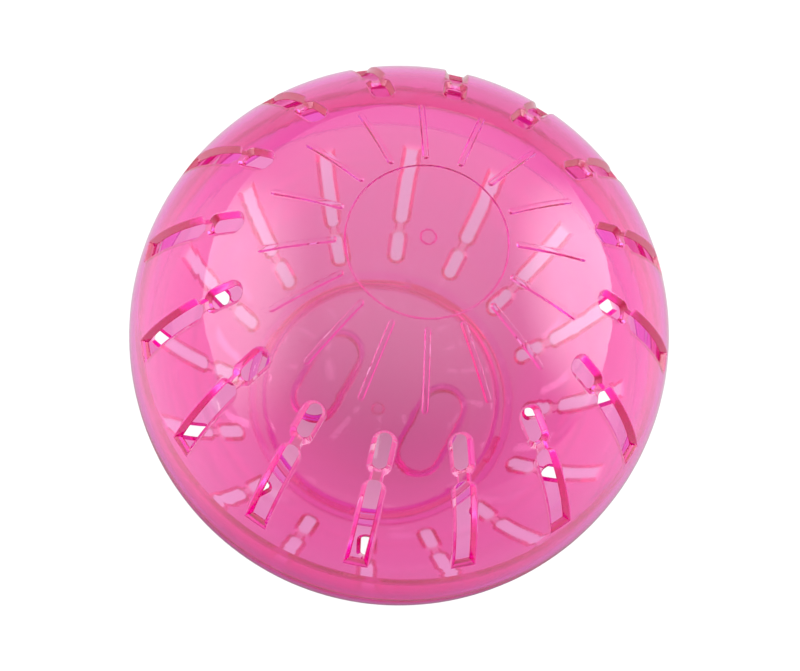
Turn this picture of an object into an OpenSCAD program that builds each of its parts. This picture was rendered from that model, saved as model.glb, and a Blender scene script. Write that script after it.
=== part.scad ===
// Hamster exercise ball: two moulded half shells and a twist-lock door.
// The polar axis is Z, the seam lies in the XY plane and the door closes the lower pole.

/* [Ball] */
// Outside diameter of the closed ball
ball_d = 178; // [160:1:260]
// Thickness of the moulded wall
wall = 2; // [1.6:0.1:3]
// Turn of the plain half against the door half, in degrees
plain_turn = -5.5; // [-11:0.5:11]

/* [Vents] */
// Number of vents round each half, an even number
vent_count = 16; // [8:2:18]
// Width of a vent at the outer face
vent_w = 7.4; // [6:0.1:9]
// Width of a vent where it comes through the inner face
vent_gap = 3.8; // [3:0.1:5]
// Length of the round-ended head of a vent, along the ball
head_len = 15; // [12:0.5:18]
// Space between the round ends of the head and of the slot below it
neck_len = 1; // [0.5:0.1:2]
// Width of the neck that joins them at the outer face
neck_w = 4; // [3:0.1:5]
// Width of the neck's floor
neck_floor_w = 2.4; // [1.5:0.1:2.8]
// Depth of the neck's floor below the outer face
neck_depth = 1; // [0.5:0.1:1.2]
// Plain land between the door opening and the vents, along the ball
vent_land = 7.6; // [6:0.1:11]
// Plain band between the vents and the seam, along the ball
seam_band = 28.2; // [22:0.1:32]

/* [Plain pole] */
// Diameter of the circle round the plain pole
disc_d = 47; // [30:1:56]
// Width of the groove that draws the circle
groove_w = 0.8; // [0.5:0.1:1.5]
// Depth of the groove
groove_depth = 0.3; // [0.2:0.1:0.6]
// Number of ribs round the plain pole, an even number
rib_count = 16; // [8:2:24]
// Space between the circle and the ribs, along the ball
rib_land = 2.7; // [2:0.1:5]
// Length of a rib, along the ball
rib_len = 24.5; // [12:0.5:25]
// Width of a rib
rib_w = 1.6; // [1:0.1:3]
// Height of a rib above the outer face
rib_h = 0.6; // [0.3:0.1:1]
// Outside diameter of the ring left by the moulding gate
gate_d = 5; // [4:0.1:8]

/* [Collar] */
// Reach of the collar past the seam, into the plain half
collar_up = 15.7; // [8:0.1:17]
// Reach of the collar's root below the seam
collar_down = 13.4; // [6:0.1:16]
// Thickness of the collar
collar_wall = 1.6; // [1.2:0.1:2.5]
// Clearance between the collar and the plain half
collar_gap = 0.3; // [0.2:0.05:0.4]

/* [Door] */
// Diameter of the door
door_d = 94; // [86:1:102]
// Running clearance round the door and under it
door_gap = 0.3; // [0.2:0.05:0.4]
// Width of the lap that the door rests on
door_lap = 2.5; // [2:0.1:4]
// Thickness of the seat under the lap
seat_wall = 1.2; // [1:0.1:2.4]
// Width by which the seat backs the shell beyond the door
seat_land = 2.2; // [1.5:0.1:4]
// Thickness of the door's skirt
skirt_wall = 1.3; // [1:0.1:2]
// Thickness of a locking lug
lug_wall = 1.4; // [1:0.1:2.5]
// Distance by which a lug stays inside the door's rim
lug_inset = 0.5; // [0.4:0.1:1]
// Length of a lug round the axis, in degrees
lug_span = 27; // [20:1:32]
// Turn of the door from locked to fully released, in degrees
door_travel = 67; // [55:1:70]
// Length of the notch that lets a lug out, in degrees
notch_span = 50; // [40:1:52]
// Play between a lug and its stops, in degrees
stop_play = 0.5; // [0.3:0.1:1]
// Length of the stop at the locked end, in degrees
lock_stop_span = 2.4; // [2:0.1:5]
// Length of the stop at the released end, in degrees
open_stop_span = 13; // [5:1:16]

/* [Finger pits] */
// Length of a finger pit, along the grip bar
pit_len = 35; // [28:0.5:42]
// Width of a finger pit
pit_w = 15; // [13:0.5:19]
// Distance from the door's axis to a pit's centre
pit_offset = 22.25; // [19:0.25:24]
// Depth of a pit beside the grip bar
pit_depth = 8; // [6:0.5:10]
// Thickness of a pit's wall and floor
pit_wall = 1.8; // [1.2:0.1:2.5]

/* [Hidden] */
$fn = 96;

// Overrun of every cut past the face it opens
cut = 0.4;
// How far the round ends of a vent swell past its sides
end_swell = 0.05;

ball_r = ball_d / 2;
inner_r = ball_r - wall;
collar_r = inner_r - collar_gap;
collar_inner_r = collar_r - collar_wall;
seat_inner_r = inner_r - seat_wall;

door_r = door_d / 2;
rebate_r = door_r + door_gap;
skirt_r = door_r - door_lap;
bore_r = skirt_r + door_gap;
door_inner_r = inner_r + door_gap;

lug_r = door_r - lug_inset;
lug_root_r = skirt_r - skirt_wall / 2;
lug_top_ball_r = seat_inner_r - door_gap;
lug_floor = height_at(lug_r, lug_top_ball_r) - lug_wall;
stop_floor = lug_floor - door_gap;
lug_angles = [0, 180];
released_end = -lug_span / 2 - door_travel - stop_play;
locked_end = lug_span / 2 + stop_play;
notch_from = released_end - stop_play;
stop_r = bore_r + door_gap;

pit_floor = height_at(pit_offset - pit_w / 2, ball_r) - pit_depth;

// Latitudes are counted in degrees from the pole.
vent_half_w = vent_w / 2;
vent_slope = (vent_w - vent_gap) / 2 / wall;
vent_tip = asin(rebate_r / ball_r) + arc(vent_land);
head_from = vent_tip + arc(vent_half_w);
head_to = vent_tip + arc(head_len - vent_half_w);
slot_from = vent_tip + arc(head_len + neck_len + vent_half_w);
slot_to = 90 - arc(seam_band);
rib_from = asin(disc_d / 2 / ball_r) + arc(rib_land);

// Angle at the ball's centre under a length measured along the outer face
function arc(len) = 360 * len / (PI * ball_d);

// Height above the seam of a ball of radius ball at distance r from the axis
function height_at(r, ball) = sqrt(ball * ball - r * r);

// Half width of a vent at distance r from the ball's centre
function vent_half(r) = vent_half_w - vent_slope * (ball_r - r);

// Ring between two circles, on the side of the axis that is revolved
module band(outer, inner, r_from, r_to, z_from, z_to) {
    intersection() {
        difference() {
            circle(r = outer);
            circle(r = inner);
        }
        translate([r_from, z_from]) square([r_to - r_from, z_to - z_from]);
    }
}

// Places a child, drawn round the Z axis, at a latitude on the XZ meridian
module at_latitude(angle) {
    rotate([0, angle, 0]) children();
}

// Repeats a child evenly round the polar axis
module around(count) {
    for (i = [0 : count - 1]) rotate([0, 0, i * 360 / count]) children();
}

// Channel that follows the ball along the XZ meridian, with its cross-section as points
module channel(from, to, section) {
    rotate([90, 0, 0]) rotate([0, 0, 90 - to]) rotate_extrude(angle = to - from) polygon(section);
}

// Cross-section that narrows from the outer face to the inner face, cut through the wall
module vent_channel(from, to) {
    low = inner_r - cut;
    high = ball_r + cut;
    low_half = vent_half(low) - end_swell;
    high_half = vent_half(high) - end_swell;
    channel(from, to, [[low, -low_half], [high, -high_half], [high, high_half], [low, low_half]]);
}

// Round end of a vent, narrowing at the same slope as its sides
module vent_end(angle) {
    low = inner_r - cut;
    high = ball_r + cut;
    at_latitude(angle) translate([0, 0, low])
        cylinder(h = high - low, r1 = vent_half(low), r2 = vent_half(high));
}

// Blind groove that joins the head to the slot and leaves a bridge under it
module vent_neck() {
    floor_r = ball_r - neck_depth;
    side = (neck_w - neck_floor_w) / 2 / neck_depth;
    high_half = neck_w / 2 + side * cut;
    channel(head_to, slot_from, [[floor_r, -neck_floor_w / 2], [ball_r + cut, -high_half],
                                 [ball_r + cut, high_half], [floor_r, neck_floor_w / 2]]);
}

// Long slot with a square lower end that slopes like its sides
module vent_slot() {
    difference() {
        vent_channel(slot_from, slot_to + arc(vent_w));
        at_latitude(slot_to) translate([0, 0, ball_r]) rotate([0, atan(vent_slope), 0])
            translate([0, -vent_w, -vent_w]) cube(2 * vent_w);
    }
    vent_end(slot_from);
}

module vent() {
    vent_channel(head_from, head_to);
    vent_end(head_from);
    vent_end(head_to);
    vent_neck();
    vent_slot();
}

// Cutter for a shallow ring in the outer face at the upper pole
module ring_groove(r, width) {
    difference() {
        sphere(r = ball_r + cut);
        sphere(r = ball_r - groove_depth);
        translate([0, 0, -ball_r - cut]) cylinder(h = ball_d + 2 * cut, r = r - width);
        difference() {
            translate([0, 0, -ball_d]) cylinder(h = 2 * ball_d, r = ball_d);
            cylinder(h = ball_d, r = r);
        }
    }
}

// Raised rib with round ends that follows the ball along the XZ meridian
module rib() {
    low = ball_r - wall / 2;
    rib_to = rib_from + arc(rib_len);
    intersection() {
        sphere(r = ball_r + rib_h);
        union() {
            channel(rib_from + arc(rib_w / 2), rib_to - arc(rib_w / 2),
                    [[low, -rib_w / 2], [ball_r + wall, -rib_w / 2], [ball_r + wall, rib_w / 2],
                     [low, rib_w / 2]]);
            for (angle = [rib_from + arc(rib_w / 2), rib_to - arc(rib_w / 2)])
                at_latitude(angle) translate([0, 0, low]) cylinder(h = ball_r + wall - low, d = rib_w);
        }
    }
}

// Upper half: a bare dome with ribs round its pole
module plain_half() {
    color([0.95, 0.42, 0.66, 0.5]) rotate([0, 0, plain_turn]) difference() {
        union() {
            rotate_extrude() band(ball_r, inner_r, 0, ball_d, 0, ball_d);
            rotate([0, 0, 180 / vent_count]) around(rib_count) rib();
        }
        around(vent_count) vent();
        ring_groove((disc_d + groove_w) / 2, groove_w);
        ring_groove(gate_d / 2, groove_w);
    }
}

// Profile of the door half: the shell, the collar, and the seat that backs the door
module door_half_profile() {
    band(ball_r, inner_r, rebate_r, ball_d, 0, ball_d);
    band(ball_r - wall / 2, collar_inner_r, 0, ball_d, 0, collar_down);
    band(collar_r, collar_inner_r, 0, ball_d, -collar_up, collar_down);
    difference() {
        band(ball_r, seat_inner_r, bore_r, rebate_r + seat_land, 0, ball_d);
        band(ball_d, inner_r, 0, rebate_r, 0, ball_d);
    }
}

// Sector of a revolved profile round the polar axis
module sector(from, to, section) {
    rotate([0, 0, from]) rotate_extrude(angle = to - from) polygon(section);
}

// Gap in the seat through which a lug leaves
module lug_notch() {
    sector(notch_from, notch_from + notch_span,
           [[0, 0], [lug_r + door_gap, 0], [lug_r + door_gap, ball_d], [0, ball_d]]);
}

// Stop that hangs from the seat beside a lug
module lug_stop(from, to) {
    embed_r = seat_inner_r + seat_wall / 2;
    sector(from, to, [[stop_r, stop_floor], [rebate_r, stop_floor],
                      [rebate_r, height_at(rebate_r, embed_r)], [stop_r, height_at(stop_r, embed_r)]]);
}

// Lower half: the collar and the door's seat, drawn pole up and then turned over
module door_half() {
    color([0.93, 0.36, 0.62, 0.5]) mirror([0, 0, 1]) rotate([0, 0, -90]) {
        difference() {
            rotate_extrude() door_half_profile();
            around(vent_count) vent();
            for (angle = lug_angles) rotate([0, 0, angle]) lug_notch();
        }
        for (angle = lug_angles) rotate([0, 0, angle]) {
            lug_stop(locked_end, locked_end + lock_stop_span);
            lug_stop(released_end - open_stop_span, released_end);
        }
    }
}

// Outline of a finger pit, grown by a margin
module pit_outline(margin) {
    end_x = (pit_len - pit_w) / 2;
    end_r = pit_w / 2 + margin;
    for (x = [-end_x, end_x]) translate([x, 0]) circle(r = end_r);
    translate([-end_x, -end_r]) square([2 * end_x, 2 * end_r]);
}

// Places a child at each finger pit, with the grip bar between them
module at_pits() {
    for (y = [-pit_offset, pit_offset]) translate([0, y, 0]) children();
}

// Door: a cap with a skirt, two lugs, and two pits that leave a grip bar
module door() {
    color([0.91, 0.33, 0.6, 0.5]) mirror([0, 0, 1]) rotate([0, 0, -90]) difference() {
        union() {
            rotate_extrude() {
                band(ball_r, door_inner_r, 0, door_r, 0, ball_d);
                intersection() {
                    circle(r = ball_r - wall / 2);
                    translate([skirt_r - skirt_wall, lug_floor]) square([skirt_wall, ball_d]);
                }
            }
            for (angle = lug_angles) rotate([0, 0, angle])
                sector(-lug_span / 2, lug_span / 2,
                       [[lug_root_r, lug_floor], [lug_r, lug_floor],
                        [lug_r, height_at(lug_r, lug_top_ball_r)],
                        [lug_root_r, height_at(lug_root_r, lug_top_ball_r)]]);
            intersection() {
                sphere(r = ball_r - wall / 2);
                at_pits() translate([0, 0, pit_floor - pit_wall])
                    linear_extrude(ball_r) pit_outline(pit_wall);
            }
        }
        at_pits() translate([0, 0, pit_floor]) linear_extrude(ball_r) pit_outline(0);
        ring_groove(gate_d / 2, groove_w);
    }
}

plain_half();
door_half();
door();
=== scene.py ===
"""Hamster exercise ball: two clear pink half shells and a twist-lock door, dressed for rendering."""

import math

import bmesh
import bpy
import numpy as np
from mathutils import Matrix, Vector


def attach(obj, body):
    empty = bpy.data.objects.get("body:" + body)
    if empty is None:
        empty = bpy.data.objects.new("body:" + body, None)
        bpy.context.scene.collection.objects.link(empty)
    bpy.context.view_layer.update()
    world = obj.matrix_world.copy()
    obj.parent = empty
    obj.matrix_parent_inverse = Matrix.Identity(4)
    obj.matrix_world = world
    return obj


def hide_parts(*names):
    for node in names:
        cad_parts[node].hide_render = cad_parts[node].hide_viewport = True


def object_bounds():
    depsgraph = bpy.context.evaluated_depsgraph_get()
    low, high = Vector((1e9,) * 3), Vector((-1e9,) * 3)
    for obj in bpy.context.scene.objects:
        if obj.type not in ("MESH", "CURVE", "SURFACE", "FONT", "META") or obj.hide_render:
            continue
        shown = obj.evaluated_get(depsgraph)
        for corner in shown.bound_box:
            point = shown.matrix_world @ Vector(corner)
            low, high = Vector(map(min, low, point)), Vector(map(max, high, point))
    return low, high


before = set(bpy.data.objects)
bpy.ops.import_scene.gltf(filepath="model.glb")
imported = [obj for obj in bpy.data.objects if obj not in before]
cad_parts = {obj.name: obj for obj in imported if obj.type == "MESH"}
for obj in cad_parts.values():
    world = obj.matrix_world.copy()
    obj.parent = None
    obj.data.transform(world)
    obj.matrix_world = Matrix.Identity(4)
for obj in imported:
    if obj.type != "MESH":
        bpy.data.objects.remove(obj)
cad_low, cad_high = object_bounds()

# ---------------------------------------------------------------- camera
# A long lens looks down on the plain half, six and a half ball radii from the centre.
# The ball stands on its door, so the lens is rolled a little to hold the pole as it was seen.
BALL_R = 0.089
CAMERA_RADII = 6.53
camera_back = (0.0700, -0.3226, 0.9439)
camera_up = (-0.4700, 0.8240, 0.3165)
camera_right = (0.8798, 0.4659, 0.0939)

lens = bpy.data.cameras.new("lens")
lens.sensor_width = 36.0
lens.lens = 78.4
lens.shift_x = 0.00125
lens.clip_start, lens.clip_end = 0.01, 20.0
camera = bpy.data.objects.new("camera", lens)
aim = Matrix((camera_right, camera_up, camera_back)).transposed().to_4x4()
camera.matrix_world = Matrix.Translation([c * BALL_R * CAMERA_RADII for c in camera_back]) @ aim
bpy.context.scene.collection.objects.link(camera)
bpy.context.scene.camera = camera
bpy.context.scene.view_settings.view_transform = "Standard"
# Light turned back inside clear walls meets many faces before it leaves them
MOST_FACES = 120
cycles = bpy.context.scene.cycles
cycles.max_bounces = cycles.transmission_bounces = cycles.glossy_bounces = MOST_FACES

# ---------------------------------------------------------------- table
# A white table that runs out of sight. Seen directly it is plain white and keeps a faint shadow.
# Through the plastic and mirrored in it, it is a little darker, with ovals of painted shade, a painted pale
# sheen at either side of the ball, and painted pink where edges turn rays aside.
TABLE_WHITE = 0.82
TABLE_HALF, TABLE_DROP = 6.0, 0.0003
SEEN_SHARE = 0.88
THROUGH_LEVEL, MIRROR_LEVEL = 0.80, 0.55
# Ovals of painted shade on the table, one under what shows through the ball's middle and one under what its
# lower edge mirrors: centre, half axes, turn in degrees, share of the axes in full shade and free of it, and
# the share of the light that is taken
PAINTED_SHADE_THROUGH = (-0.012, 0.0460), (0.053, 0.072), 27.7, 0.70, 1.35, 0.27
PAINTED_SHADE_MIRROR = (0.02, -0.05), (0.10, 0.10), 0, 0.60, 1.60, 0.90
# The painted sheen: the shares of a ray's way along the picture's width where it starts and is full, and its
# strength
PAINTED_SHEEN_NONE, PAINTED_SHEEN_FULL, PAINTED_SHEEN = 0.42, 0.92, 0.8
# Painted pink light at edges: what edges turn aside is painted pink on the table, standing in for light that
# has come by way of the ball's own pink walls: its colour, the cosines of the turn where it is still white
# and where it is all of that colour, and the faces that it has met at least
PAINTED_TURNED_PINK = (1.08, 0.28, 0.82, 1)
TURNED_NONE, TURNED_FULL, TURNED_FACES = 0.97, 0.85, 4.5


def node_tree(owner):
    """Clears and returns the node tree of a material or world."""
    owner.use_nodes = True
    owner.node_tree.nodes.clear()
    return owner.node_tree


def worked(tree, operation, *values):
    """Result of a Math node over sockets or numbers."""
    node = tree.nodes.new("ShaderNodeMath")
    node.operation = operation
    for socket, value in zip(node.inputs, values):
        if isinstance(value, (int, float)):
            socket.default_value = value
        else:
            tree.links.new(value, socket)
    return node.outputs[0]


def cosine(tree, way, axis):
    """Cosine of the angle between a direction and a fixed axis: their dot product."""
    node = tree.nodes.new("ShaderNodeVectorMath")
    node.operation = "DOT_PRODUCT"
    node.inputs[1].default_value = axis
    tree.links.new(way, node.inputs[0])
    return node.outputs["Value"]


def soft_step(tree, value, none, full, low, high):
    """Smooth change from low, where the value is none, to high, where it is full: t t (3 - 2 t) of the way at
    the share t between them."""
    node = tree.nodes.new("ShaderNodeMapRange")
    node.interpolation_type = "SMOOTHSTEP"
    for name, number in (("From Min", none), ("From Max", full), ("To Min", low), ("To Max", high)):
        node.inputs[name].default_value = number
    tree.links.new(value, node.inputs["Value"])
    return node.outputs["Result"]


def blended(tree, share, first, second):
    """Shader that goes from the first to the second as the share goes from 0 to 1."""
    node = tree.nodes.new("ShaderNodeMixShader")
    for socket, source in zip(node.inputs, (share, first, second)):
        tree.links.new(source, socket)
    return node.outputs[0]


table_z = cad_low.z - TABLE_DROP
white_table = bpy.data.materials.new("white_table")
tree = node_tree(white_table)
ray = tree.nodes.new("ShaderNodeLightPath").outputs
spot = tree.nodes.new("ShaderNodeTexCoord").outputs["Object"]
ground = tree.nodes.new("ShaderNodeNewGeometry").outputs


def painted_shade_level(bright, centre, axes, angle, full, none, taken):
    """Brightness of the table round an oval of painted shade: bright (1 - taken) where the distance from the
    centre, counted in half axes, is under full, and bright where it is past none."""
    oval = tree.nodes.new("ShaderNodeMapping")
    oval.vector_type = "TEXTURE"
    oval.inputs["Location"].default_value = (*centre, table_z)
    oval.inputs["Rotation"].default_value = (0, 0, math.radians(angle))
    oval.inputs["Scale"].default_value = (*axes, 1)
    tree.links.new(spot, oval.inputs["Vector"])
    away = tree.nodes.new("ShaderNodeVectorMath")
    away.operation = "LENGTH"
    tree.links.new(oval.outputs["Vector"], away.inputs[0])
    return soft_step(tree, away.outputs["Value"], none, full, bright, bright * (1 - taken))


# Painted shade: through the plastic and in mirrored rays, the table's brightness is dimmed in two ovals
through = worked(tree, "MULTIPLY", ray["Is Transmission Ray"], painted_shade_level(THROUGH_LEVEL, *PAINTED_SHADE_THROUGH))
mirrored = worked(tree, "MULTIPLY", ray["Is Glossy Ray"], painted_shade_level(MIRROR_LEVEL, *PAINTED_SHADE_MIRROR))
level = worked(tree, "MAXIMUM", worked(tree, "MAXIMUM", ray["Is Camera Ray"], through), mirrored)
# Painted sheen: mirrored rays that run sideways across the picture see the table brighter
sideways = worked(tree, "ABSOLUTE", cosine(tree, ground["Incoming"], camera_right))
painted_sheen = soft_step(tree, sideways, PAINTED_SHEEN_NONE, PAINTED_SHEEN_FULL, 0, PAINTED_SHEEN)
level = worked(tree, "MULTIPLY_ADD", painted_sheen, ray["Is Glossy Ray"], level)

# Painted pink: rays that reach the table turned aside after many faces see it painted pink and deeper
aside = soft_step(tree, cosine(tree, ground["Incoming"], camera_back), TURNED_NONE, TURNED_FULL, 0, 1)
painted_pink_rays = worked(tree, "MULTIPLY", ray["Is Transmission Ray"],
                worked(tree, "GREATER_THAN", ray["Ray Depth"], TURNED_FACES))
painted_pink_tint = tree.nodes.new("ShaderNodeMix")
painted_pink_tint.data_type = "RGBA"
painted_pink_sockets = {socket.identifier: socket for socket in (*painted_pink_tint.inputs, *painted_pink_tint.outputs)}
painted_pink_sockets["A_Color"].default_value = (1, 1, 1, 1)
painted_pink_sockets["B_Color"].default_value = PAINTED_TURNED_PINK
tree.links.new(worked(tree, "MULTIPLY", aside, painted_pink_rays), painted_pink_sockets["Factor_Float"])

matt = tree.nodes.new("ShaderNodeBsdfDiffuse")
matt.inputs["Color"].default_value = (TABLE_WHITE, TABLE_WHITE, TABLE_WHITE, 1)
shown = tree.nodes.new("ShaderNodeEmission")
tree.links.new(level, shown.inputs["Strength"])
tree.links.new(painted_pink_sockets["Result_Color"], shown.inputs["Color"])
seen = worked(tree, "MAXIMUM", ray["Is Camera Ray"],
              worked(tree, "MAXIMUM", ray["Is Transmission Ray"], ray["Is Glossy Ray"]))
top = blended(tree, worked(tree, "MULTIPLY", seen, SEEN_SHARE), matt.outputs[0], shown.outputs[0])
# Nothing of the table shows from beneath
clear = tree.nodes.new("ShaderNodeBsdfTransparent")
out = tree.nodes.new("ShaderNodeOutputMaterial")
tree.links.new(blended(tree, ground["Backfacing"], top, clear.outputs[0]), out.inputs["Surface"])

corners = TABLE_HALF * np.array([(-1, -1), (1, -1), (1, 1), (-1, 1)])
table_mesh = bpy.data.meshes.new("table")
table_mesh.from_pydata([(x, y, table_z) for x, y in corners.tolist()], [], [(0, 1, 2, 3)])
table_mesh.materials.append(white_table)
table = bpy.data.objects.new("table", table_mesh)
bpy.context.scene.collection.objects.link(table)

# ---------------------------------------------------------------- sky
# An even sky with a soft glow over the ball and one at either side, which lie on the shell as pale glares.
# It is plain white where the camera looks past the ball, and at one even level through the plastic.
SKY_LEVEL, SKY_THROUGH = 0.62, 0.80
SKY_WHITE = (0.97, 0.97, 1.0, 1)
GLOWS = (
    # right, up and back of the centre along the lens's own axes, degrees of full glow and of none, strength
    ((0.0, 0.66, 0.75), 10, 95, 2.4),
    ((-0.98, 0.14, 0.14), 14, 48, 4.0),
    ((0.97, 0.20, 0.03), 12, 40, 5.0),
)
sky = bpy.data.worlds.new("sky")
tree = node_tree(sky)
bpy.context.scene.world = sky
toward = tree.nodes.new("ShaderNodeTexCoord").outputs["Generated"]
level = SKY_LEVEL
for place, full, none, strength in GLOWS:
    way = np.array(place) @ np.array((camera_right, camera_up, camera_back))
    near = cosine(tree, toward, (way / np.linalg.norm(way)).tolist())
    glow = soft_step(tree, near, math.cos(math.radians(none)), math.cos(math.radians(full)), 0, strength)
    level = worked(tree, "ADD", level, glow)
ray = tree.nodes.new("ShaderNodeLightPath").outputs
glowing = worked(tree, "MULTIPLY", level, worked(tree, "SUBTRACT", 1.0, ray["Is Transmission Ray"]))
level = worked(tree, "MULTIPLY_ADD", ray["Is Transmission Ray"], SKY_THROUGH, glowing)
light = tree.nodes.new("ShaderNodeBackground")
light.inputs["Color"].default_value = SKY_WHITE
tree.links.new(level, light.inputs["Strength"])
behind = tree.nodes.new("ShaderNodeBackground")
behind.inputs["Color"].default_value = (1, 1, 1, 1)
out = tree.nodes.new("ShaderNodeOutputWorld")
lit = blended(tree, ray["Is Camera Ray"], light.outputs[0], behind.outputs[0])
tree.links.new(lit, out.inputs["Surface"])

# ---------------------------------------------------------------- plain half
# A bare dome of clear pink polystyrene, moulded 2 mm thick, that pushes over the other half's collar.
# Sixteen pin-shaped vents go through it, with a shallow ring and sixteen raised ribs round its pole.
MM = 0.001
R = 89.0
WALL = 2.0
INNER = R - WALL
# Degrees by which this half stands turned on the collar
PLAIN_TURN = -5.5
# How far past a corner its two sides are drawn, so that it can be rounded
BEYOND = 1.0
# Degrees past which an edge is shaded sharp
SHARP_EDGE = 38
# Metres within which points are merged, and under which an edge is dropped
MERGE_WITHIN, SLIVER = 2e-6, 1e-6


def rounded(corners, radii, steps=4):
    """Polyline in which each inner corner becomes an arc that touches both sides, cut into steps parts. At a
    corner of angle 2 h an arc of radius r starts and ends r / tan(h) away from it along the sides, and its
    centre lies r / sin(h) away along their bisector."""
    corners = np.asarray(corners, float)
    at = corners[1:-1]
    into, away = corners[:-2] - at, corners[2:] - at
    into /= np.linalg.norm(into, axis=1)[:, None]
    away /= np.linalg.norm(away, axis=1)[:, None]
    half = 0.5 * np.arccos(np.clip((into * away).sum(1), -1, 1))
    radii = np.asarray(radii, float)
    start = at + into * (radii / np.tan(half))[:, None]
    end = at + away * (radii / np.tan(half))[:, None]
    middle = into + away
    centre = at + middle / np.linalg.norm(middle, axis=1)[:, None] * (radii / np.sin(half))[:, None]
    sweep = (np.pi - 2 * half)[:, None]
    k = np.linspace(0, 1, steps + 1)[None]
    a, b = np.sin((1 - k) * sweep) / np.sin(sweep), np.sin(k * sweep) / np.sin(sweep)
    arcs = centre[:, None] + a[..., None] * (start - centre)[:, None] + b[..., None] * (end - centre)[:, None]
    return np.concatenate([corners[:1], arcs.reshape(-1, 2), corners[-1:]])


def on_ball(along, across, rho):
    """Point at distance rho from the centre, along degrees from the pole in the XZ plane and across it by
    the latitude across, in degrees: x = rho cos(across) sin(along), y = rho sin(across), z = rho cos cos."""
    a, c = np.radians(along), np.radians(across)
    a, c, rho = np.broadcast_arrays(a, c, rho)
    return np.stack([rho * np.cos(c) * np.sin(a), rho * np.sin(c), rho * np.cos(c) * np.cos(a)], -1)


def polar(theta, phi):
    """The (along, across) pair of the direction (x, y, z) that is theta degrees from the pole at azimuth phi
    degrees: along = atan2(x, z), across = asin(y)."""
    t, p = np.radians(theta), np.radians(phi)
    x, y, z = np.sin(t) * np.cos(p), np.sin(t) * np.sin(p), np.cos(t)
    return np.stack(np.broadcast_arrays(np.degrees(np.arctan2(x, z)), np.degrees(np.arcsin(y))), -1)


def between(a, b, shares):
    """Rows from a to b at the shares t: a (1 - t) + b t."""
    t = np.asarray(shares, float).reshape((-1,) + (1,) * np.ndim(a))
    return np.asarray(a)[None] * (1 - t) + np.asarray(b)[None] * t


class Skin:
    """Gathers grids of points into one closed mesh, in millimetres until it is made."""

    def __init__(self):
        self.points, self.quads, self.count = [], [], 0

    def grid(self, points, keep=None):
        """Adds one grid, rows by columns, with a quad in each cell that keep allows."""
        rows, cols = points.shape[:2]
        index = self.count + np.arange(rows * cols).reshape(rows, cols)
        quads = np.stack([index[:-1, :-1], index[:-1, 1:], index[1:, 1:], index[1:, :-1]], -1)
        self.quads.append(quads[keep] if keep is not None else quads.reshape(-1, 4))
        self.points.append(points.reshape(-1, 3))
        self.count += rows * cols

    def made(self, name, flip_z=False):
        """Object with all the grids, doubles merged and faces turned outwards, smooth but for sharp edges."""
        points = np.concatenate(self.points) * MM
        if flip_z:
            points = points * (1, 1, -1)
        quads = np.concatenate(self.quads)
        mesh = bpy.data.meshes.new(name)
        mesh.vertices.add(len(points))
        mesh.vertices.foreach_set("co", points.astype(np.float32).ravel())
        mesh.loops.add(quads.size)
        mesh.loops.foreach_set("vertex_index", quads.astype(np.int32).ravel())
        mesh.polygons.add(len(quads))
        mesh.polygons.foreach_set("loop_start", np.arange(0, quads.size, 4, dtype=np.int32))
        mesh.update(calc_edges=True)
        work = bmesh.new()
        work.from_mesh(mesh)
        bmesh.ops.remove_doubles(work, verts=work.verts, dist=MERGE_WITHIN)
        bmesh.ops.dissolve_degenerate(work, edges=work.edges, dist=SLIVER)
        bmesh.ops.recalc_face_normals(work, faces=work.faces)
        work.to_mesh(mesh)
        work.free()
        mesh.shade_smooth()
        mesh.set_sharp_from_angle(angle=math.radians(SHARP_EDGE))
        thing = bpy.data.objects.new(name, mesh)
        bpy.context.scene.collection.objects.link(thing)
        return thing


def arc(length):
    """Angle at the ball's centre under a length along the outer face: length / R radians, in degrees."""
    return math.degrees(length / R)


# The vents: sizes of head, neck and slot, and how far their walls lean in for each mm of depth
VENTS = 16
HALF_SECTOR = 180.0 / VENTS
VENT_HALF = 3.7
VENT_SLOPE = 0.9
VENT_EDGE, VENT_INNER_EDGE = 0.5, 0.22
HEAD_LEN, NECK_LEN = 15.0, 1.0
NECK_HALF, NECK_FLOOR_HALF, NECK_DEPTH = 2.0, 1.2, 1.0
# Where they start and end, which on both halves is set by the door's opening and the seam
DOOR_R, DOOR_GAP = 47.0, 0.3
VENT_LAND, SEAM_BAND = 7.6, 28.2
head_from = math.degrees(math.asin((DOOR_R + DOOR_GAP) / R)) + arc(VENT_LAND + VENT_HALF)
head_to = head_from + arc(HEAD_LEN - 2 * VENT_HALF)
slot_from = head_to + arc(NECK_LEN + 2 * VENT_HALF)
slot_to = 90 - arc(SEAM_BAND)
# The band of wall that holds them, in degrees from the pole
FIELD_TOP, FIELD_END = 35.3, 74.2
# Points of a vent's outline, in the order tip, head, neck, slot and square end
TIP_STEPS, HEAD_STEPS, CURL_STEPS, BRIDGE_STEPS, SLOT_STEPS, END_STEPS = 8, 4, 6, 4, 13, 6
CURL_IN = 3
# Rows of points down a vent's wall: depths on either side of the neck's floor, and how near to it others come
ABOVE_FLOOR, BELOW_FLOOR, FLOOR_CLEAR = 0.6, 1.5, 0.05
WALL_REACH = 1.5
FIELD_SHARES = np.array([0, 0.03, 0.08, 0.15, 0.24, 0.35, 0.48, 0.62, 0.8, 1])
FLOOR_SHARES = 0.35, 0.7, 1


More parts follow.
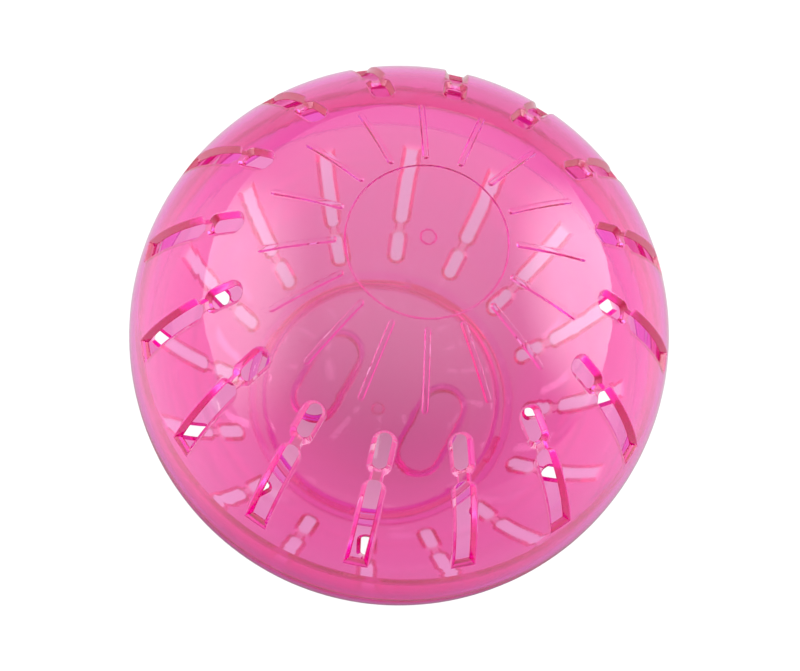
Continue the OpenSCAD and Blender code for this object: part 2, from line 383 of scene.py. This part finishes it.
def vent_outline(half, neck, rho, end, bridge=False):
    """Half of a vent's outline at distance rho from the centre, as (along, across): a quarter circle of
    radius half, a straight side, a circle down to the neck's half width, the neck, and the same up to a
    square end. A length l off the middle line is asin(l / rho) there. With bridge, the circles close on the
    middle line and the neck's points run along it between them."""
    def row(*parts):
        """The parts in one row. Each starts where the one before it ends, so that point is left out."""
        return np.concatenate([p if i == 0 else p[1:] for i, p in enumerate(parts)])

    def round_end(centre, angles, sign):
        """Points of the circle round centre at angles a: half cos(a) along and half sin(a) across."""
        a = np.radians(angles)
        return np.stack([centre + sign * np.degrees(np.arcsin(half * np.cos(a) / rho)),
                         np.degrees(np.arcsin(half * np.sin(a) / rho))], -1)

    def side(a, b, steps):
        """Points of a straight side from a to b along, at the vent's half width across."""
        return np.stack([np.linspace(a, b, steps + 1), np.full(steps + 1, width)], -1)

    width = math.degrees(math.asin(half / rho))
    meet = math.degrees(math.asin(neck / half))
    low = round_end(head_to, np.linspace(90, meet, CURL_STEPS + 1), 1)
    top = round_end(slot_from, np.linspace(meet, 90, CURL_STEPS + 1), -1)
    if bridge:
        low_in = round_end(head_to, np.linspace(meet, 0, CURL_IN + 1), 1)
        top_in = round_end(slot_from, np.linspace(0, meet, CURL_IN + 1), -1)
        middle = row(low_in, between(low_in[-1], top_in[0], np.linspace(0, 1, BRIDGE_STEPS + 1)), top_in)
    else:
        middle = between(low[-1], top[0], np.linspace(0, 1, BRIDGE_STEPS + 2 * CURL_IN + 1))
    return row(round_end(head_from, np.linspace(0, 90, TIP_STEPS + 1), -1),
               side(head_from, head_to, HEAD_STEPS), low, middle, top, side(slot_from, end, SLOT_STEPS),
               np.stack([np.full(END_STEPS + 1, end), np.linspace(width, 0, END_STEPS + 1)], -1))


def sector_edge(rim, top, end, end_steps):
    """Edge of half a sector of the ball from top to end degrees from the pole, matched to a rim's columns:
    along its top, down its side at the rim's own spacing and back along its foot."""
    side_along = rim[TIP_STEPS:len(rim) - end_steps, 0]
    share = (side_along - side_along[0]) / (side_along[-1] - side_along[0])
    return np.concatenate([polar(top, np.linspace(0, HALF_SECTOR, TIP_STEPS + 1))[:-1],
                           polar(top + (end - top) * share, HALF_SECTOR),
                           polar(end, np.linspace(HALF_SECTOR, 0, end_steps + 1))[1:]])


def vent_field():
    """Half of one vent with the wall around it, as one grid of rows: in from the field's edge over the outer
    face, down the sloped side, over the neck's floor and its bridge, and out again over the inner face."""
    def outline(e, depth, bridge=False):
        """The vent's outline, grown by e, at a depth in the wall, flat and on the ball. Its neck narrows
        evenly from NECK_HALF at the outer face to NECK_FLOOR_HALF at its floor."""
        rho, half = R - depth, VENT_HALF + e
        if bridge:
            neck = half * NECK_FLOOR_HALF / (VENT_HALF - VENT_SLOPE * NECK_DEPTH)
        else:
            neck = NECK_HALF - (NECK_HALF - NECK_FLOOR_HALF) / NECK_DEPTH * depth + (e + VENT_SLOPE * depth)
        flat = vent_outline(half, neck, rho, slot_to + math.degrees(e / rho), bridge)
        return flat, on_ball(flat[:, 0], flat[:, 1], rho)

    def at_depth(depth):
        """Growth and depth of the vent's sloped side: the growth is -VENT_SLOPE depth."""
        return -VENT_SLOPE * depth, depth

    wall = rounded([(WALL_REACH, 0), (0, 0), at_depth(WALL), (WALL_REACH, WALL)],
                   [VENT_EDGE, VENT_INNER_EDGE])[1:-1]
    upper = [tuple(p) for p in wall if p[1] < NECK_DEPTH - FLOOR_CLEAR]
    lower = [tuple(p) for p in wall if p[1] > NECK_DEPTH + FLOOR_CLEAR]
    rim, _ = outline(*upper[0])
    edge = sector_edge(rim, FIELD_TOP, FIELD_END, END_STEPS)
    outer = between(rim, edge, FIELD_SHARES)[::-1]
    floor_rim, _ = outline(*at_depth(NECK_DEPTH))
    floor_in, _ = outline(*at_depth(NECK_DEPTH), bridge=True)
    floor = between(floor_rim, floor_in, FLOOR_SHARES)
    last, _ = outline(*lower[-1], bridge=True)
    inner = between(last, edge, FIELD_SHARES)
    down_to_floor = upper + [at_depth(ABOVE_FLOOR), at_depth(NECK_DEPTH)]
    on_to_inner = [at_depth(BELOW_FLOOR)] + lower
    rows = [on_ball(outer[..., 0], outer[..., 1], R)[:-1],
            np.stack([outline(*p)[1] for p in down_to_floor]),
            on_ball(floor[..., 0], floor[..., 1], R - NECK_DEPTH),
            np.stack([outline(*p, bridge=True)[1] for p in on_to_inner]),
            on_ball(inner[..., 0], inner[..., 1], INNER)[1:]]
    points = np.concatenate(rows)
    # Under the neck's floor the wall is whole, so the cells along the middle line there are left out
    keep = np.ones((len(points) - 1, len(rim) - 1), bool)
    below = sum(len(part) for part in rows[:3]) - 1
    first = TIP_STEPS + HEAD_STEPS + CURL_STEPS + CURL_IN
    keep[below:below + len(on_to_inner), first:first + BRIDGE_STEPS] = False
    return points, keep


def all_round(skin, points, keep=None, turn=0.0):
    """Adds half a sector and its mirror image once for each vent round the polar axis."""
    for k in range(VENTS):
        a = math.radians(turn + k * 360 / VENTS)
        c, s = math.cos(a), math.sin(a)
        for side in (1, -1):
            skin.grid(points * (1, side, 1) @ np.array([[c, s, 0], [-s, c, 0], [0, 0, 1]]), keep)


def swept(profile, phi):
    """Grid that a profile of (r, z) points makes when it is carried round the axis through the azimuths phi,
    in degrees: x = r cos(phi), y = r sin(phi), and z stays. It may be another profile at each azimuth."""
    profile = np.asarray(profile, float)
    if profile.ndim == 2:
        profile = np.repeat(profile[:, None], len(phi), 1)
    r, z, a = profile[..., 0], profile[..., 1], np.radians(phi)[None]
    return np.stack([r * np.cos(a), r * np.sin(a), z + 0 * a], -1)


def ball_arc(radius, start, end, steps):
    """Points (r, z) along a ball from start to end degrees t from the pole: r = radius sin(t),
    z = radius cos(t)."""
    t = np.radians(np.linspace(start, end, steps + 1))
    return np.stack([radius * np.sin(t), radius * np.cos(t)], -1)


ring_phi = np.linspace(0, 360, 2 * VENTS * TIP_STEPS + 1)
foot_phi = np.linspace(0, 360, 2 * VENTS * END_STEPS + 1)

# The ribs: the ring's diameter, the bare wall between the ring and a rib, and the rib's length, width and
# height. Its foot stands out and its top comes in from its half width, so that its sides lean
RING_D = 47.0
RIB_LAND, RIB_LEN, RIB_W, RIB_H = 2.7, 24.5, 1.6, 0.6
RIB_FOOT, RIB_TOP, RIB_ROUND, RIB_REACH = 0.15, -0.2, 0.12, 0.8
RIB_STEPS = 10
RIB_SHARES = 0, 0.04, 0.12, 0.25, 0.45, 0.7, 1
POLE_TOP = 16.2


def rib_field():
    """Half of one rib with the wall around it: rows in from the field's edge, up the rib's side and over its
    top to the middle line. The outline is a quarter circle, a side and a quarter circle."""
    start = math.degrees(math.asin(RING_D / 2 / R)) + arc(RIB_LAND + RIB_W / 2)
    stop = start + arc(RIB_LEN - RIB_W)
    half_w = RIB_W / 2

    def outline(e, height):
        """The rib's outline, grown by e, at a height over the outer face, flat and on the ball."""
        rho, half = R + height, max(half_w + e, 0)
        a = np.radians(np.linspace(0, 90, TIP_STEPS + 1))
        top = np.stack([start - np.degrees(np.arcsin(half * np.cos(a) / rho)),
                        np.degrees(np.arcsin(half * np.sin(a) / rho))], -1)
        side = between(top[-1], (stop, top[-1, 1]), np.linspace(0, 1, RIB_STEPS + 1))
        foot = top[::-1] * (-1, 1) + (start + stop, 0)
        flat = np.concatenate([top, side[1:], foot[1:]])
        return flat, on_ball(flat[:, 0], flat[:, 1], rho)

    profile = rounded([(RIB_REACH, 0), (RIB_FOOT, 0), (RIB_TOP, RIB_H), (-half_w, RIB_H)],
                      [RIB_ROUND, RIB_ROUND])
    rim, _ = outline(*profile[1])
    outer = between(rim, sector_edge(rim, POLE_TOP, FIELD_TOP, TIP_STEPS), RIB_SHARES)[::-1]
    return np.concatenate([on_ball(outer[..., 0], outer[..., 1], R)[:-1],
                           np.stack([outline(*p)[1] for p in profile[1:]])])


# The ring round the pole and the small ring of the gate, through which the mould was filled. The groove is
# GROOVE_W wide on the piece, and what shows of it is a finer one along its outer side, rounder than a V
GATE_D, GROOVE_W = 5.0, 0.8
GROOVE_DEPTH, GROOVE_OPEN, GROOVE_ROUND, GROOVE_POINTS = 0.3, 0.55, 1.3, 7


def ring_groove(r):
    """Points (r, z) across a groove in the outer face, inwards from the radius r. Its depth at the share k of
    its width is GROOVE_DEPTH (1 - |2 k - 1| ^ GROOVE_ROUND)."""
    k = np.linspace(0, 1, GROOVE_POINTS)
    out = r - GROOVE_OPEN * k
    depth = GROOVE_DEPTH * (1 - np.abs(2 * k - 1) ** GROOVE_ROUND)
    return np.stack([out, np.sqrt((R - depth) ** 2 - out ** 2)], -1)


def from_pole(point):
    """Degrees from the pole of a point (r, z) on the outer face."""
    return math.degrees(math.asin(point[0] / R))


RIM_LIFT = 0.06
RIM_OUTER_EDGE, RIM_INNER_EDGE = 0.4, 0.3
FOOT_STEPS = 6


def shell_rim():
    """Profile from the foot of the vent field along the outer ball, over the rim that ends RIM_LIFT above the
    seam, and back along the inner ball."""
    outer_foot = ball_arc(R, FIELD_END, 90, FOOT_STEPS)
    inner_foot = ball_arc(INNER, 90, FIELD_END, FOOT_STEPS)
    outer_foot[-1, 1] = inner_foot[0, 1] = RIM_LIFT
    edge = rounded([outer_foot[-2], outer_foot[-1], inner_foot[0], inner_foot[1]],
                   [RIM_OUTER_EDGE, RIM_INNER_EDGE])
    return np.concatenate([outer_foot[:-1], edge[1:-1], inner_foot[1:]])


plain = Skin()
vent_points, vent_keep = vent_field()
all_round(plain, vent_points, vent_keep)
all_round(plain, rib_field(), turn=HALF_SECTOR)
ring, gate = ring_groove((RING_D + GROOVE_W) / 2), ring_groove(GATE_D / 2)
plain.grid(swept(np.concatenate([
    ball_arc(R, POLE_TOP, from_pole(ring[0]), steps=1)[:-1], ring,
    ball_arc(R, from_pole(ring[-1]), from_pole(gate[0]), steps=8)[1:-1], gate,
    ball_arc(R, from_pole(gate[-1]), 0, steps=2)[1:]]), ring_phi))
plain.grid(swept(ball_arc(INNER, FIELD_TOP, 0, steps=20), ring_phi))
plain.grid(swept(shell_rim(), foot_phi))
plain_shell = plain.made("plain_half_shell")
plain_shell.data.transform(Matrix.Rotation(math.radians(PLAIN_TURN), 4, "Z"))

# Clear pink polystyrene: a light tint at its faces and a deeper one in its depth, so that edges and doubled
# walls are hot pink. The faces keep the faint waviness of a moulding and a little wear
FACE_TINT = (0.98, 0.72, 0.665, 1)
DEPTH_TINT, DEPTH_DENSITY = (0.995, 0.30, 0.975, 1), 500.0
PLASTIC_IOR = 1.5
WAVE_SCALE, WAVE_DETAIL, WAVE_STRENGTH, WAVE_HEIGHT = 38.0, 1.0, 0.25, 0.0003
WEAR_SCALE, WEAR_DETAIL = 90.0, 4.0
POLISHED, WORN = 0.02, 0.07


def clear_pink(name, seed):
    """Polished clear plastic, tinted at its faces and by the length of its light paths. One noise lifts its
    faces into low waves and a finer one takes their roughness from polished to worn."""
    plastic = bpy.data.materials.new(name)
    tree = node_tree(plastic)
    place = tree.nodes.new("ShaderNodeTexCoord")
    shift = tree.nodes.new("ShaderNodeMapping")
    shift.inputs["Location"].default_value = (seed, seed, seed)
    tree.links.new(place.outputs["Object"], shift.inputs["Vector"])
    noises = []
    for scale, detail in ((WAVE_SCALE, WAVE_DETAIL), (WEAR_SCALE, WEAR_DETAIL)):
        noise = tree.nodes.new("ShaderNodeTexNoise")
        noise.inputs["Scale"].default_value = scale
        noise.inputs["Detail"].default_value = detail
        tree.links.new(shift.outputs["Vector"], noise.inputs["Vector"])
        noises.append(noise.outputs["Fac"])
    waves, wear = noises
    bump = tree.nodes.new("ShaderNodeBump")
    bump.inputs["Strength"].default_value = WAVE_STRENGTH
    bump.inputs["Distance"].default_value = WAVE_HEIGHT
    tree.links.new(waves, bump.inputs["Height"])
    rough = tree.nodes.new("ShaderNodeMapRange")
    rough.inputs["To Min"].default_value = POLISHED
    rough.inputs["To Max"].default_value = WORN
    tree.links.new(wear, rough.inputs["Value"])
    glass = tree.nodes.new("ShaderNodeBsdfPrincipled")
    glass.inputs["Base Color"].default_value = FACE_TINT
    glass.inputs["Transmission Weight"].default_value = 1.0
    glass.inputs["IOR"].default_value = PLASTIC_IOR
    tree.links.new(bump.outputs["Normal"], glass.inputs["Normal"])
    tree.links.new(rough.outputs["Result"], glass.inputs["Roughness"])
    depth = tree.nodes.new("ShaderNodeVolumeAbsorption")
    depth.inputs["Color"].default_value = DEPTH_TINT
    depth.inputs["Density"].default_value = DEPTH_DENSITY
    out = tree.nodes.new("ShaderNodeOutputMaterial")
    tree.links.new(glass.outputs["BSDF"], out.inputs["Surface"])
    tree.links.new(depth.outputs["Volume"], out.inputs["Volume"])
    return plastic


plain_shell.data.materials.append(clear_pink("clear_pink_shell", 0.0))
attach(plain_shell, "plain_half")
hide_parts("plain_half")

# ---------------------------------------------------------------- door half
# The half that carries the door: the same vented shell with a collar inside its seam, on which the plain
# half pushes, and a stepped seat round its opening with two notches and four stops for the door's lugs.
DOOR_LAP, SEAT_WALL, SEAT_LAND = 2.5, 1.2, 2.2
SEAT_EDGE, SEAT_ROOT = 0.3, 0.1
LUG_WALL, LUG_INSET = 1.4, 0.5
# In degrees round the axis: half a lug, the door's turn, a notch, the play at its ends and the stops
LUG_HALF_SPAN, TRAVEL, NOTCH_SPAN, PLAY = 13.5, 67.0, 50.0, 0.5
LOCK_STOP_SPAN, OPEN_STOP_SPAN = 2.4, 13.0


def height_at(r, ball):
    """Height above the seam of a ball of radius ball at distance r from the axis: sqrt(ball^2 - r^2)."""
    return np.sqrt(ball * ball - np.square(r))


def at_radius(r, ball):
    """Points (r, z) of a ball at distances r from the axis: z = sqrt(ball^2 - r^2)."""
    r = np.asarray(r, float)
    return np.stack([r, height_at(r, ball)], -1)


def at_height(z, ball):
    """Points (r, z) of a ball at heights z above the seam: r = sqrt(ball^2 - z^2)."""
    z = np.asarray(z, float)
    return np.stack([height_at(z, ball), z], -1)


skirt_r = DOOR_R - DOOR_LAP
bore_r, rebate_r = skirt_r + DOOR_GAP, DOOR_R + DOOR_GAP
seat_ball = INNER - SEAT_WALL
lug_r = DOOR_R - LUG_INSET
lug_top_ball = seat_ball - DOOR_GAP
lug_floor = height_at(lug_r, lug_top_ball) - LUG_WALL
stop_floor = lug_floor - DOOR_GAP
stop_r = bore_r + DOOR_GAP
notch_r = lug_r + DOOR_GAP
land_r = rebate_r + SEAT_LAND

# The seat's profile: over the rebate that the door's edge lies in, round the lip, under it and back inside
over = rounded([at_radius(rebate_r + BEYOND, R), at_radius(rebate_r, R), at_radius(rebate_r, INNER),
                at_radius(rebate_r - BEYOND, INNER)], [SEAT_EDGE, SEAT_ROOT])[1:-1]
lip = rounded([at_radius(bore_r + BEYOND, INNER), at_radius(bore_r, INNER), at_radius(bore_r, seat_ball),
               at_radius(bore_r + BEYOND, seat_ball)], [SEAT_EDGE, SEAT_EDGE])[1:-1]
under = at_radius([stop_r, stop_r, stop_r, rebate_r, rebate_r, rebate_r], seat_ball)
back = rounded([at_radius(rebate_r + BEYOND, seat_ball), at_radius(land_r, seat_ball),
                at_radius(land_r, INNER), at_radius(land_r + BEYOND, INNER)], [SEAT_EDGE, SEAT_ROOT])[1:-1]
top_angle = math.degrees(math.asin(over[0, 0] / R))
foot_angle = math.degrees(math.asin(back[-1, 0] / INNER))
parts = [ball_arc(R, FIELD_TOP, top_angle, steps=3)[:-1], over, lip, under, back,
         ball_arc(INNER, foot_angle, FIELD_TOP, steps=1)[1:]]
seat = np.concatenate(parts)
lip_from = len(parts[0]) + len(over)
under_from = lip_from + len(lip)
under_to = under_from + len(under)

# Where the lugs pass, the seat is cut back to their radius
notched = seat.copy()
cut = notched[lip_from:under_to]
held = np.clip(cut[:, 1], height_at(notch_r, seat_ball), height_at(notch_r, INNER))
cut[:, 1] = np.where(cut[:, 0] > notch_r, cut[:, 1], held)
cut[:, 0] = np.maximum(cut[:, 0], notch_r)
# At a stop, the underside hangs down to the stop's floor
stopped = seat.copy()
stopped[under_from + 1:under_to - 1, 1] = stop_floor

released = -LUG_HALF_SPAN - TRAVEL - PLAY
locked = LUG_HALF_SPAN + PLAY
BANDS = (
    # where each starts, in degrees from a lug at rest, and its profile up to where the next one starts
    (released - OPEN_STOP_SPAN, stopped),
    (released, notched),
    (released + NOTCH_SPAN, seat),
    (locked, stopped),
    (locked + LOCK_STOP_SPAN, seat),
)


def seat_columns():
    """The seat's profile at every azimuth of the ring. At each change of profile the nearest column moves to
    the exact place and is doubled, so the step's own wall stands between the two."""
    ring = ring_phi[:-1].copy()
    cuts = sorted((((lug + start) % 360, profile) for lug in (-90.0, 90.0) for start, profile in BANDS),
                  key=lambda cut: cut[0])
    moved = {int(np.argmin(np.abs(ring - angle))): (angle, profile) for angle, profile in cuts}
    angles, even, profiles = [], [], []
    current = cuts[-1][1]
    for i, angle in enumerate(ring):
        columns = [(angle, current)]
        if i in moved:
            angle, after = moved[i]
            columns = [(angle, current), (angle, after)]
            current = after
        for angle, profile in columns:
            angles.append(angle), even.append(ring[i]), profiles.append(profile)
    angles.append(angles[0] + 360), even.append(even[0] + 360), profiles.append(profiles[0])
    return np.array(angles), np.array(even), np.stack(profiles, 1)


seat_phi, seat_even, seat_profile = seat_columns()
# The first and last rows keep the ring's even spacing, to meet the vent field
blend = np.ones(len(seat))
blend[0] = blend[-1] = 0
a = np.radians(seat_even[None] + (seat_phi - seat_even)[None] * blend[:, None])
door_side = Skin()
door_side.grid(np.stack([seat_profile[..., 0] * np.cos(a), seat_profile[..., 0] * np.sin(a),
                         seat_profile[..., 1]], -1))
all_round(door_side, vent_points, vent_keep)

# The collar: from the seam up past it, over its top and down inside to its foot on the shell
COLLAR_UP, COLLAR_DOWN, COLLAR_WALL, COLLAR_GAP = 15.7, 13.4, 1.6, 0.3
COLLAR_ROOT, COLLAR_EDGE, COLLAR_FOOT_EDGE, COLLAR_FOOT_ROOT = 0.12, 0.5, 0.3, 0.2
# Its faces between the rounds: how far they stay clear of its ends, and their rows of points
COLLAR_CLEAR, COLLAR_OUT_ROWS, COLLAR_IN_ROWS = 1.5, 8, 14
collar_out = INNER - COLLAR_GAP
collar_in = collar_out - COLLAR_WALL
seam = ball_arc(R, FIELD_END, 90, FOOT_STEPS)
shoulder = rounded([seam[-2], at_height(RIM_LIFT, R), at_height(RIM_LIFT, collar_out),
                    at_height(-BEYOND, collar_out)], [RIM_OUTER_EDGE, COLLAR_ROOT])[1:-1]
collar_top = rounded([at_height(-COLLAR_UP + BEYOND, collar_out), at_height(-COLLAR_UP, collar_out),
                      at_height(-COLLAR_UP, collar_in), at_height(-COLLAR_UP + BEYOND, collar_in)],
                     [COLLAR_EDGE, COLLAR_EDGE])[1:-1]
collar_foot = rounded([at_height(COLLAR_DOWN - BEYOND, collar_in), at_height(COLLAR_DOWN, collar_in),
                       at_height(COLLAR_DOWN, INNER), at_height(COLLAR_DOWN + BEYOND, INNER)],
                      [COLLAR_FOOT_EDGE, COLLAR_FOOT_ROOT])[1:-1]
outer_z = np.linspace(-2 * BEYOND, -COLLAR_UP + COLLAR_CLEAR, COLLAR_OUT_ROWS)
inner_z = np.linspace(-COLLAR_UP + COLLAR_CLEAR, COLLAR_DOWN - COLLAR_CLEAR, COLLAR_IN_ROWS)
past_foot = math.degrees(math.acos((COLLAR_DOWN + COLLAR_CLEAR) / INNER))
door_side.grid(swept(np.concatenate([
    seam[:-1], shoulder, at_height(outer_z, collar_out), collar_top, at_height(inner_z, collar_in),
    collar_foot, ball_arc(INNER, past_foot, FIELD_END, steps=4)]), foot_phi))
door_side_shell = door_side.made("door_half_shell", flip_z=True)
door_side_shell.data.materials.append(clear_pink("clear_pink_door_half", 0.3))
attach(door_side_shell, "door_half")
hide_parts("door_half")

# ---------------------------------------------------------------- door
# A cap of the same plastic with a lap round its edge, a skirt with two lugs that turn under the seat, and
# two stadium-shaped finger pits that leave a grip bar between them.
SKIRT_WALL = 1.3
PIT_LEN, PIT_W, PIT_OFFSET, PIT_DEPTH, PIT_WALL = 35.0, 15.0, 22.25, 8.0, 1.8
PIT_EDGE, PIT_ROOT, CAP_ROOT = 0.5, 0.5, 0.4
# Inside, the pit's own corners are flatter than they are wide
CAP_SQUASH = 0.4
HUB_R = 4.0
cap_inner = INNER + DOOR_GAP
pit_floor = float(height_at(PIT_OFFSET - PIT_W / 2, R)) - PIT_DEPTH
inner_skirt_r = skirt_r - SKIRT_WALL

# Columns of points: along a pit's side and round its end, which the rim, the middle line and the hub match
SIDE_COLS, BEND_COLS, RING_COLS, LUG_COLS, LINE_COLS, HUB_COLS = 8, 30, 30, 4, 10, 6
# Rows of points: from a pit's edge out to the cap's, round an edge, and over a pit's floor
CAP_SHARES = 0, 0.04, 0.12, 0.25, 0.42, 0.62, 0.82, 1
ROUND_STEPS = 4
PIT_FLOOR_ROWS = -2.2, -4.6, -PIT_W / 2
lug_from = 90 - LUG_HALF_SPAN
plain_angles = np.linspace(0, lug_from, RING_COLS - LUG_COLS + 1)
lug_angles = np.linspace(lug_from, 90, LUG_COLS + 1)
hub_angles = np.linspace(90, 0, HUB_COLS + 1)


def pit_outline(grow):
    """A quarter of a finger pit's outline, grown by grow: half its outer side, a half circle, half its inner
    side, as (x, y)."""
    half, end = PIT_W / 2 + grow, (PIT_LEN - PIT_W) / 2
    up = np.linspace(0, end, SIDE_COLS + 1)
    bend = np.radians(np.linspace(0, 180, BEND_COLS + 1))
    return np.concatenate([
        np.stack([np.full(SIDE_COLS + 1, PIT_OFFSET + half), up], -1)[:-1],
        np.stack([PIT_OFFSET + half * np.cos(bend), end + half * np.sin(bend)], -1),
        np.stack([np.full(SIDE_COLS + 1, PIT_OFFSET - half), up[::-1]], -1)[1:]])


def cap_edge(r):
    """The edge of a quarter of the cap, matched to a pit's outline: round the rim, in along the middle line
    and round the hub."""
    a, h = np.radians(np.concatenate([plain_angles, lug_angles[1:]])), np.radians(hub_angles)
    line = np.linspace(r, HUB_R, LINE_COLS + 1)
    return np.concatenate([np.stack([r * np.cos(a), r * np.sin(a)], -1),
                           np.stack([0 * line, line], -1)[1:],
                           np.stack([HUB_R * np.cos(h), HUB_R * np.sin(h)], -1)[1:]])


def lifted(flat, z):
    """Points (x, y) with a height z, one for all or one for each."""
    heights = np.broadcast_to(np.asarray(z, float)[..., None], flat.shape[:-1] + (1,))
    return np.concatenate([flat, heights], -1)


def over_ball(flat, ball):
    """Points (x, y) lifted on to a ball of that radius: z = sqrt(ball^2 - x^2 - y^2)."""
    return lifted(flat, height_at(np.hypot(flat[..., 0], flat[..., 1]), ball))


def cap_face(edge_r, ball, floor, wall, edge, root, squash):
    """A quarter of one face of the cap, with a finger pit's outline grown by wall: over a ball from the
    radius edge_r in to the pit, over a quarter round of the radius edge, straight down to another of the
    radius root, and over the floor to the pit's middle line. At its angle k the first round has gone
    edge sin(k) in and edge (1 - cos(k)) squash down, and the second has gone root (1 - cos(k)) in and is
    root (1 - sin(k)) squash over the floor."""
    rows = list(over_ball(between(pit_outline(wall + edge), cap_edge(edge_r), CAP_SHARES)[::-1], ball)[:-1])
    k = np.radians(np.linspace(0, 90, ROUND_STEPS + 1))
    rounds = list(zip(np.sin(k), np.cos(k)))
    for s, c in rounds:
        rows.append(over_ball(pit_outline(wall + edge * (1 - s)), ball) - (0, 0, edge * (1 - c) * squash))
    for s, c in rounds:
        rows.append(lifted(pit_outline(wall - root * (1 - c)), floor + squash * root * (1 - s)))
    for shrink in PIT_FLOOR_ROWS:
        rows.append(lifted(pit_outline(shrink), floor))
    return np.stack(rows)


# Outer and inner faces, then the hub between the pits, which keeps the gate's ring outside
RIM_IN = 1.2
HUB_IN, HUB_CLOSE, HUB_MIDDLE = 3.2, 0.8, 2.0
quarter = [
    cap_face(DOOR_R - RIM_IN, R, pit_floor, wall=0.0, edge=PIT_EDGE, root=PIT_ROOT, squash=1.0),
    cap_face(inner_skirt_r - CAP_ROOT, cap_inner, pit_floor - PIT_WALL, wall=PIT_WALL, edge=CAP_ROOT,
             root=CAP_ROOT, squash=CAP_SQUASH),
    swept(np.concatenate([at_radius([HUB_R, HUB_IN], R), gate, at_radius([HUB_CLOSE, 0.0], R)]), hub_angles),
    swept(at_radius([HUB_R, HUB_MIDDLE, 0.0], cap_inner), hub_angles),
]
# Rim, lap, lug, the skirt's foot and its inside, as one profile
LAP_OUTER_EDGE, LAP_INNER_EDGE, LAP_IN, LAP_END = 0.4, 0.3, 1.5, 0.8
LUG_TOP_EDGE, LUG_FOOT_EDGE, SKIRT_EDGE = 0.3, 0.4, 0.3
SKIRT_MIDDLE_Z = 73.0
rim = rounded([at_radius(DOOR_R - RIM_IN, R), at_radius(DOOR_R, R), at_radius(DOOR_R, cap_inner),
               at_radius(DOOR_R - BEYOND, cap_inner)], [LAP_OUTER_EDGE, LAP_INNER_EDGE])[:-1]
lap = at_radius([DOOR_R - LAP_IN, skirt_r + LAP_END, skirt_r], cap_inner)
lug = rounded([at_radius(skirt_r, lug_top_ball), at_radius(lug_r, lug_top_ball), (lug_r, lug_floor),
               (skirt_r, lug_floor)], [LUG_TOP_EDGE, LUG_FOOT_EDGE])
foot = rounded([(skirt_r, lug_floor + BEYOND), (skirt_r, lug_floor), (inner_skirt_r, lug_floor),
                (inner_skirt_r, lug_floor + BEYOND)], [SKIRT_EDGE, SKIRT_EDGE])[1:-1]
inside = [(inner_skirt_r, SKIRT_MIDDLE_Z), (inner_skirt_r, height_at(inner_skirt_r, cap_inner) - CAP_ROOT)]
with_lug = np.concatenate([rim, lap, lug, foot, inside, at_radius([inner_skirt_r - CAP_ROOT], cap_inner)])
lug_at = len(rim) + len(lap)
foot_at = lug_at + len(lug)
# Away from the lugs the skirt runs straight down to its round edge, and on a lug that edge is flat
no_lug = with_lug.copy()
no_lug[lug_at:foot_at, 0] = skirt_r
no_lug[lug_at:foot_at, 1] = np.maximum(no_lug[lug_at:foot_at, 1], lug_floor + SKIRT_EDGE)
with_lug[foot_at:foot_at + len(foot) // 2, 1] = lug_floor
quarter.append(swept(np.stack([no_lug] * len(plain_angles) + [with_lug] * len(lug_angles), 1),
                     np.concatenate([plain_angles, lug_angles])))

cap = Skin()
for side_x in (1, -1):
    for side_y in (1, -1):
        for grid in quarter:
            cap.grid(grid * (side_x, side_y, 1))
door = cap.made("door_cap", flip_z=True)
door.data.materials.append(clear_pink("clear_pink_door", 0.6))
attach(door, "door")
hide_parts("door")
